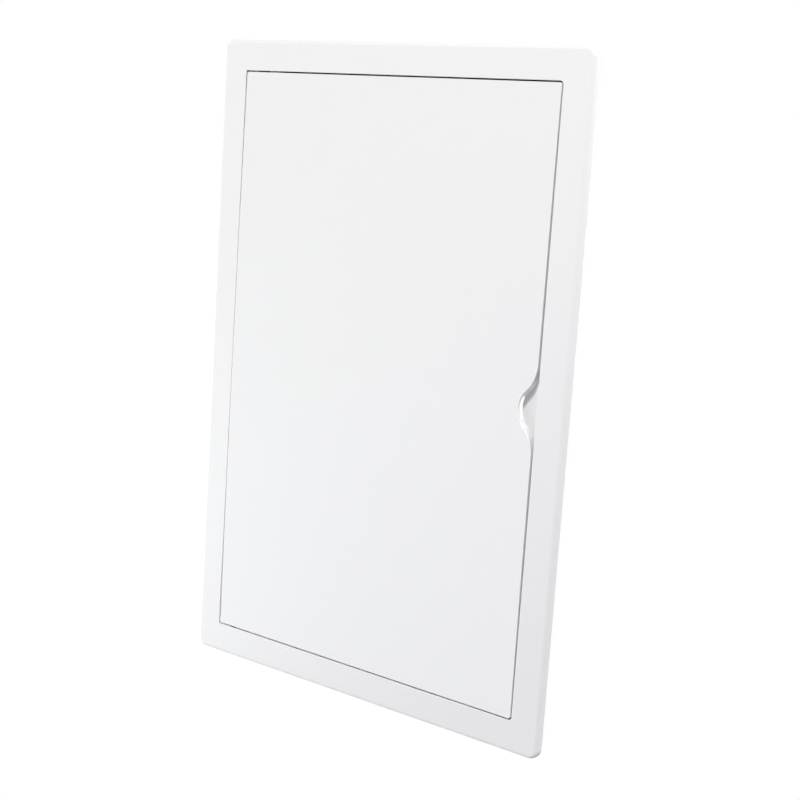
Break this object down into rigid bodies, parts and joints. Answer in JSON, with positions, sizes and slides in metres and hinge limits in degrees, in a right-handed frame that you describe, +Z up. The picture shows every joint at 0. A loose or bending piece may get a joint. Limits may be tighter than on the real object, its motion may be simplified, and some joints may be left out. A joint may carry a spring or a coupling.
{
  "type": "recessed access panel",
  "caption": "Flush hinged access door in a flanged plastic frame for a wall cut-out, with a finger notch, sprung hinge pin and magnetic catches.",
  "frame": {"origin": "centre of the panel, on the plane of the finished wall where the flange's back rests", "axes": "+X to the right as seen from the room, +Y into the wall, +Z up"},
  "size_m": [0.218, 0.0192, 0.318],
  "materials": {
    "white_plastic": "satin moulded",
    "foam": "closed-cell foam",
    "black_plastic": "smooth",
    "housing_plastic": "fine matt",
    "ferrite": "sintered",
    "plated_steel": "zinc plated",
    "pin_steel": "ground",
    "spring_steel": "drawn wire",
    "grey_plastic": "fine matt"
  },
  "bodies": {
    "frame": {"frame": "white_plastic", "seal_top": "foam", "seal_bottom": "foam", "seal_side_upper": "foam", "seal_side_lower": "foam", "hinge_bush_upper": "black_plastic", "hinge_bush_lower": "black_plastic", "catch_housing_upper": "housing_plastic", "catch_housing_lower": "housing_plastic", "catch_magnet_upper": "ferrite", "catch_magnet_lower": "ferrite", "catch_poles_upper": "plated_steel", "catch_poles_lower": "plated_steel", "catch_screws_upper": "plated_steel", "catch_screws_lower": "plated_steel"},
    "door": {"door": "white_plastic", "hinge_pin_lower": "pin_steel", "strike_plate_upper": "plated_steel", "strike_plate_lower": "plated_steel", "strike_screws_upper": "plated_steel", "strike_screws_lower": "plated_steel", "pin_spring": "spring_steel"},
    "release_pin": {"hinge_pin_upper": "pin_steel", "pin_slide": "grey_plastic"}
  },
  "joints": [
    {"name": "door_hinge", "type": "hinge", "parent": "frame", "child": "door", "pos_m": [-0.08487, -0.00055, 0], "axis": [0, 0, -1], "range_deg": [0, 130]},
    {"name": "pin_release", "type": "slide", "parent": "door", "child": "release_pin", "axis": [0, 0, -1], "range_m": [0, 0.005], "stiffness_N_per_m": 300, "springref_m": -0.006, "deforming": ["pin_spring"]}
  ]
}
